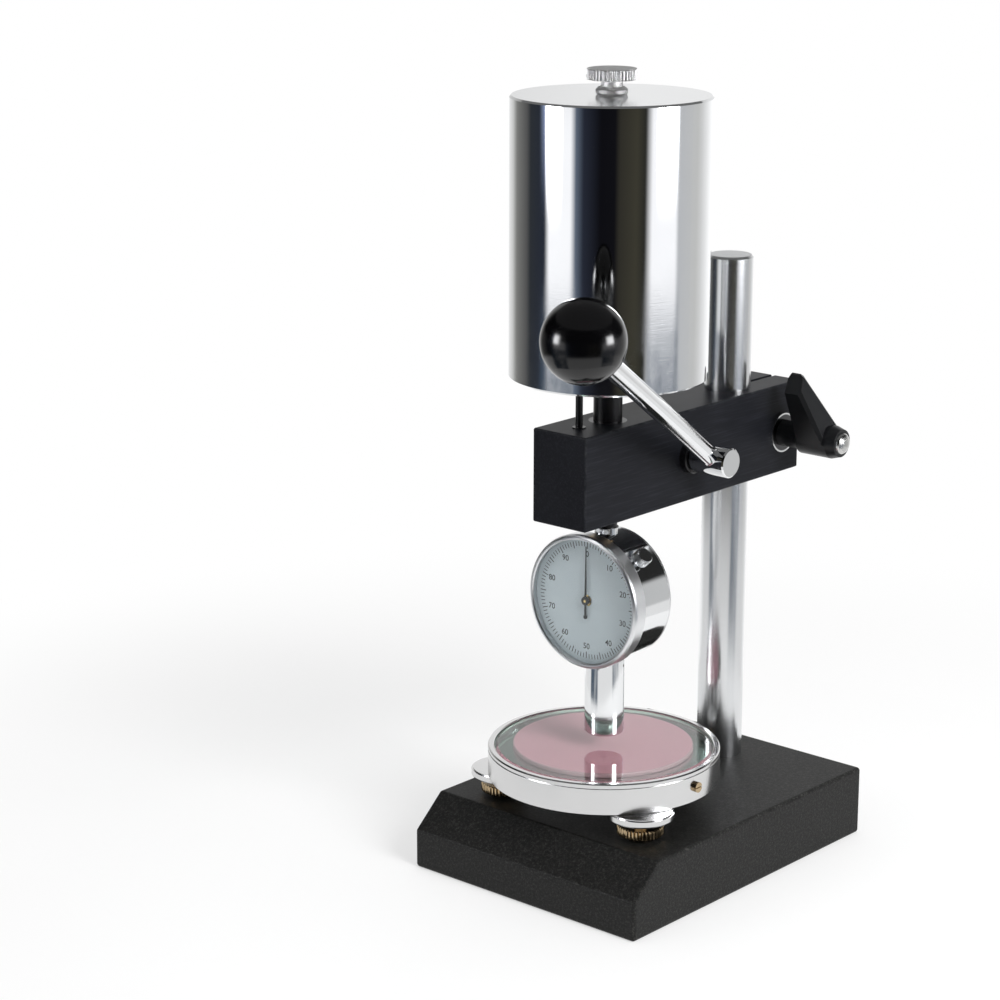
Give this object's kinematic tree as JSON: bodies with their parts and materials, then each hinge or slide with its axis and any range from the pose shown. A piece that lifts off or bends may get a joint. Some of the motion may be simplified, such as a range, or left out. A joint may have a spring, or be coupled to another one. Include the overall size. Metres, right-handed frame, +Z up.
{
  "type": "hardness tester",
  "caption": "Bench durometer: stone base, column and clamped arm; a side lever lowers a dead weight that presses a dial gauge's indenter onto a levelled glass table.",
  "frame": {"origin": "centre of the base's underside", "axes": "+Z up, -Y towards the operator, +X towards the lift lever"},
  "size_m": [0.1322, 0.2164, 0.3414],
  "materials": {
    "granite": "honed black granite, fine speckle",
    "ground_steel": "bright ground and chromed column",
    "mirror_chrome": "mirror-polished chrome plate",
    "black_anodised": "black anodised, fine satin",
    "steel": "plain machined steel",
    "black_steel": "black oxide on steel",
    "bronze": "turned bronze",
    "black_ball": "polished black phenolic",
    "black_plastic": "moulded black nylon, fine grain",
    "satin_bezel": "satin chrome",
    "gauge_chrome": "bright chrome",
    "dial_white": "pale blue-grey printed dial",
    "pointer_black": "black enamel",
    "clear_glass": "clear polished glass",
    "movement_brass": "bright movement brass",
    "spring_steel": "oiled spring wire",
    "satin_aluminium": "satin turned aluminium",
    "pink_pad": "muted pink rubber sheet",
    "screw_brass": "knurled brass"
  },
  "bodies": {
    "base": {"base_block": "granite"},
    "column": {"column": "ground_steel", "column_washer": "steel", "column_nut": "steel"},
    "arm": {"arm_block": "black_anodised", "slot_cover": "black_anodised", "cover_screws": "black_steel", "upper_bush": "black_steel", "lower_bush": "bronze", "pin_bush": "black_steel", "shaft_bush_right": "black_steel", "shaft_bush_left": "black_steel", "clamp_washer": "gauge_chrome"},
    "load": {"load_rod": "ground_steel", "weight": "mirror_chrome", "guide_pin": "black_steel", "gauge_stem": "gauge_chrome", "gauge_case": "gauge_chrome", "back_cover": "gauge_chrome", "back_screws": "steel", "front_plate": "movement_brass", "plate_pillars": "movement_brass", "bridge_plate": "movement_brass", "centre_cock": "movement_brass", "barrel_collar": "gauge_chrome", "foot_sleeve": "gauge_chrome", "load_spring": "spring_steel"},
    "nut": {"weight_nut": "mirror_chrome"},
    "lever": {"lever_shaft": "steel", "shaft_clip": "black_steel", "lever_hub": "mirror_chrome", "lever_rod": "mirror_chrome", "ball_knob": "black_ball", "rocker": "steel", "rocker_pin": "steel"},
    "clamp": {"clamp_screw": "steel", "clamp_handle": "black_plastic", "clamp_cap": "steel"},
    "spindle": {"spindle": "steel", "indenter": "steel"},
    "pointer": {"pointer": "pointer_black", "centre_arbor": "movement_brass"},
    "transfer": {"transfer_arbor": "movement_brass"},
    "bezel": {"bezel": "satin_bezel", "crystal": "clear_glass", "dial_plate": "dial_white"},
    "lock": {"lock_knob": "gauge_chrome"},
    "table": {"table_ring": "satin_aluminium", "set_screws": "screw_brass", "table_glass": "clear_glass", "table_pad": "pink_pad"},
    "level_1": {"level_screw_1": "screw_brass"},
    "level_2": {"level_screw_2": "screw_brass"},
    "level_3": {"level_screw_3": "screw_brass"}
  },
  "joints": [
    {"name": "arm_swivel", "type": "hinge", "parent": "base", "child": "column", "pos_m": [0, 0.0555, 0], "axis": [0, 0, 1], "range_deg": [-90, 90]},
    {"name": "arm_height", "type": "slide", "parent": "column", "child": "arm", "axis": [0, 0, 1], "range_m": [0, 0.05]},
    {"name": "clamp_lever", "type": "hinge", "parent": "arm", "child": "clamp", "pos_m": [0, 0.0772, 0.1758], "axis": [1, 0, 0], "range_deg": [0, 100]},
    {"name": "rod_lift", "type": "slide", "parent": "arm", "child": "load", "axis": [0, 0, 1], "range_m": [-0.0035, 0]},
    {"name": "lift_lever", "type": "hinge", "parent": "arm", "child": "lever", "pos_m": [0, 0.0115, 0.17765], "axis": [1, 0, 0], "range_deg": [0, 5.3]},
    {"name": "weight_nut_turn", "type": "hinge", "parent": "load", "child": "nut", "pos_m": [0, -0.0265, 0.336], "axis": [0, 0, 1], "continuous": true},
    {"name": "indenter_travel", "type": "slide", "parent": "load", "child": "spindle", "axis": [0, 0, 1], "range_m": [0, 0.0025], "stiffness_N_per_m": 17800, "deforming": ["load_spring"]},
    {"name": "pointer_turn", "type": "hinge", "parent": "load", "child": "pointer", "pos_m": [0, -0.0265, 0.12245], "axis": [0, 1, 0], "range_deg": [-1, 361]},
    {"name": "transfer_turn", "type": "hinge", "parent": "load", "child": "transfer", "pos_m": [-0.0036, -0.0265, 0.11227], "axis": [0, 1, 0], "range_deg": [-73, 1]},
    {"name": "bezel_turn", "type": "hinge", "parent": "load", "child": "bezel", "pos_m": [0, -0.0265, 0.12245], "axis": [0, 1, 0], "continuous": true},
    {"name": "lock_knob_turn", "type": "hinge", "parent": "load", "child": "lock", "pos_m": [0, -0.0312, 0.12245], "axis": [0.7314, 0, 0.682], "range_deg": [-180, 180]},
    {"name": "level_screw_1_turn", "type": "hinge", "parent": "base", "child": "level_1", "pos_m": [0.03746, -0.04813, 0.034], "axis": [0, 0, 1], "range_deg": [-361, 361]},
    {"name": "level_screw_2_turn", "type": "hinge", "parent": "base", "child": "level_2", "pos_m": [0, 0.01675, 0.034], "axis": [0, 0, 1], "range_deg": [-361, 361]},
    {"name": "level_screw_3_turn", "type": "hinge", "parent": "base", "child": "level_3", "pos_m": [-0.03746, -0.04813, 0.034], "axis": [0, 0, 1], "range_deg": [-361, 361]},
    {"name": "table_lift", "type": "slide", "parent": "base", "child": "table", "axis": [0, 0, 1], "range_m": [-0.001, 0.001]}
  ],
  "couplings": [
    {"joint": "lift_lever", "follows": "rod_lift", "rad_per_m": -26.316},
    {"joint": "pointer_turn", "follows": "indenter_travel", "rad_per_m": 2513.3},
    {"joint": "transfer_turn", "follows": "indenter_travel", "rad_per_m": -502.65},
    {"joint": "level_screw_1_turn", "follows": "table_lift", "rad_per_m": -6283.2},
    {"joint": "level_screw_2_turn", "follows": "table_lift", "rad_per_m": -6283.2},
    {"joint": "level_screw_3_turn", "follows": "table_lift", "rad_per_m": -6283.2}
  ]
}
